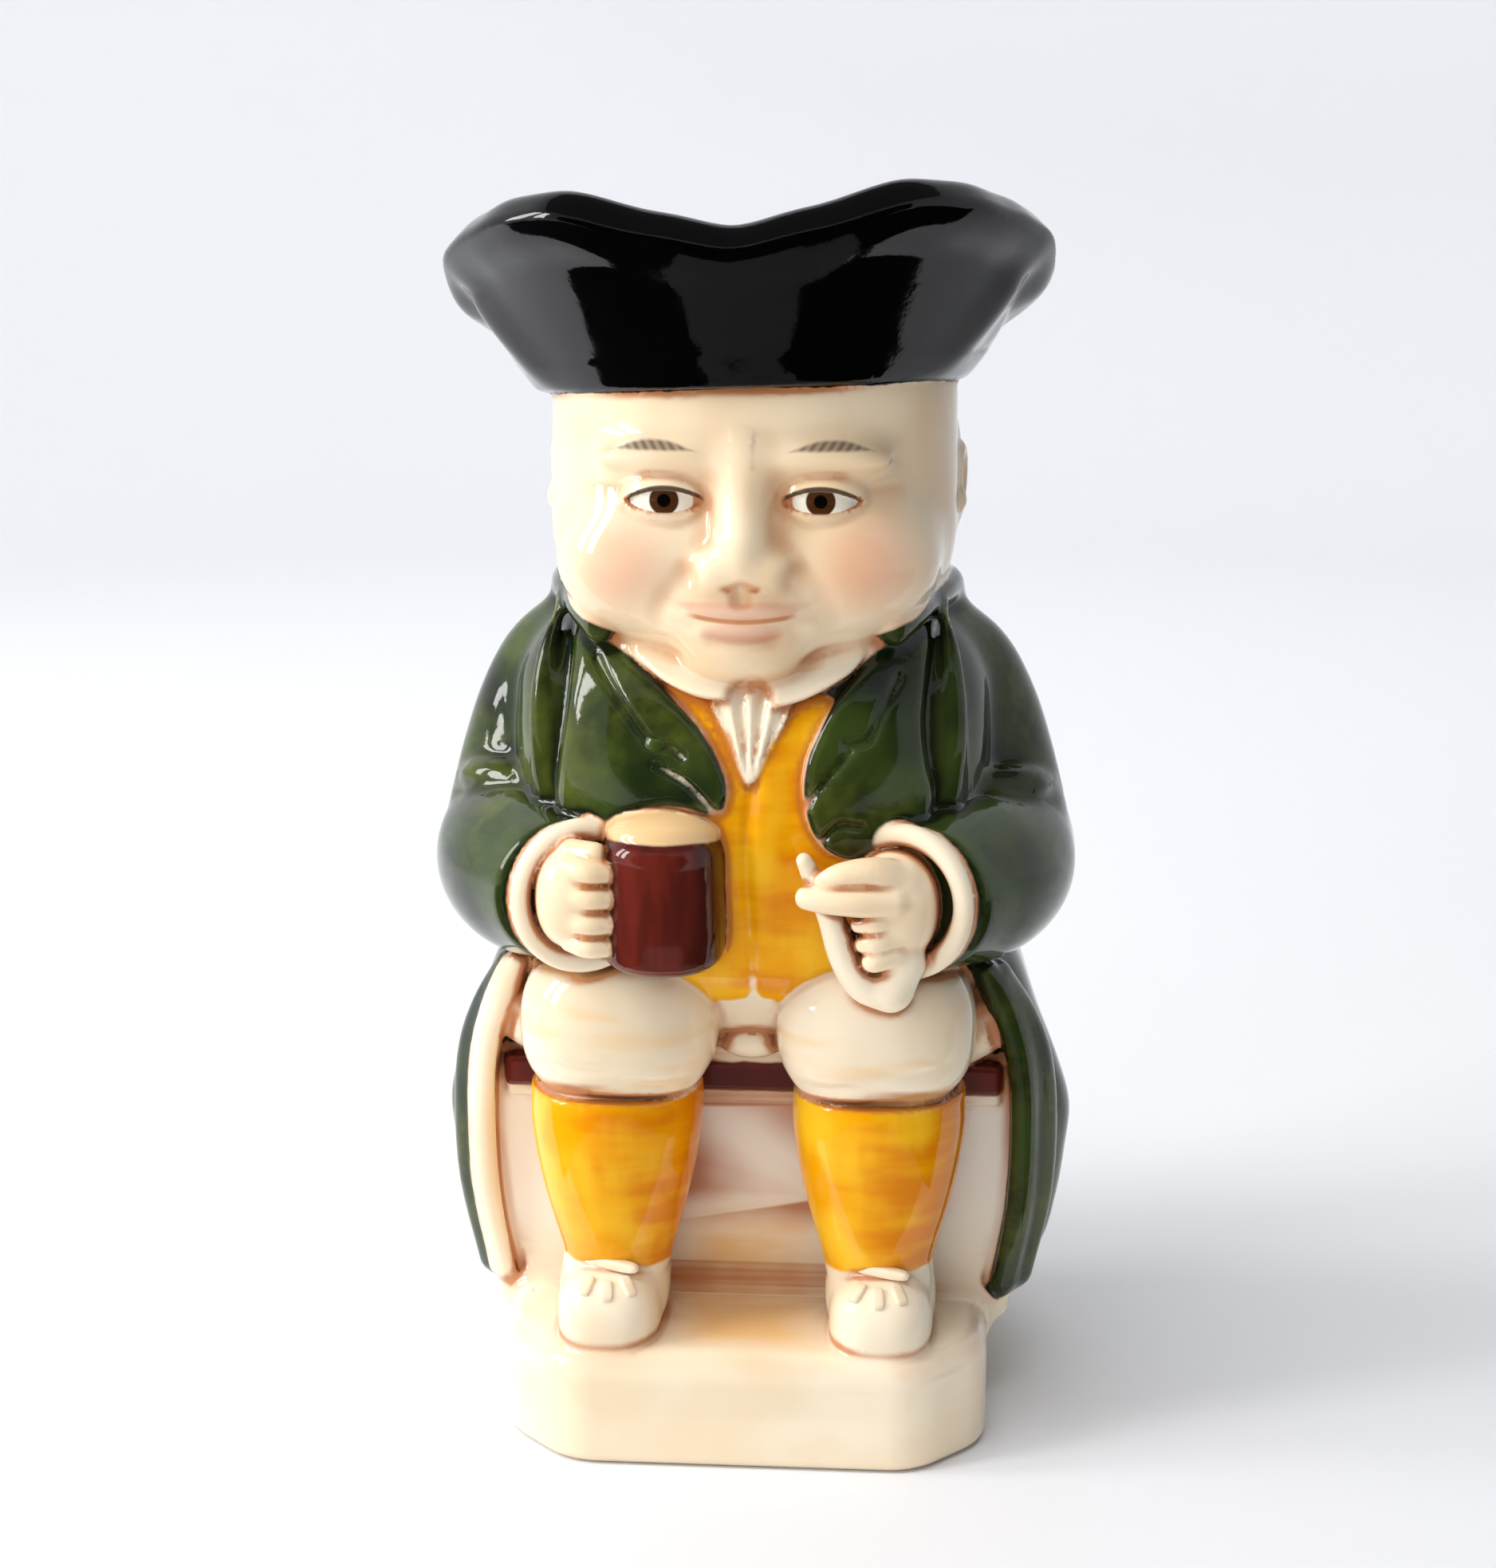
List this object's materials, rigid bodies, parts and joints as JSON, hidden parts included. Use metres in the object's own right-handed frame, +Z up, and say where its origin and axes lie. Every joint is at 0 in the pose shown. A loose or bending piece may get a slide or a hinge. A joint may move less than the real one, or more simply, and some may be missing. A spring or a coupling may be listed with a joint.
{
  "type": "toby jug",
  "caption": "Hollow glazed earthenware jug shaped as a seated man with a mug and a pipe, with a tricorn hat for its mouth and a loop handle behind.",
  "frame": {"origin": "middle of the plinth's flat underside", "axes": "+Z up, the figure faces -Y, its left hand with the pipe is on +X"},
  "size_m": [0.0956, 0.0982, 0.1797],
  "materials": {
    "glazed_earthenware": "cream body hand painted in black, bottle green, mustard, red-brown and flesh tones under a clear high gloss glaze"
  },
  "bodies": {
    "root": {"jug": "glazed_earthenware"}
  },
  "joints": []
}
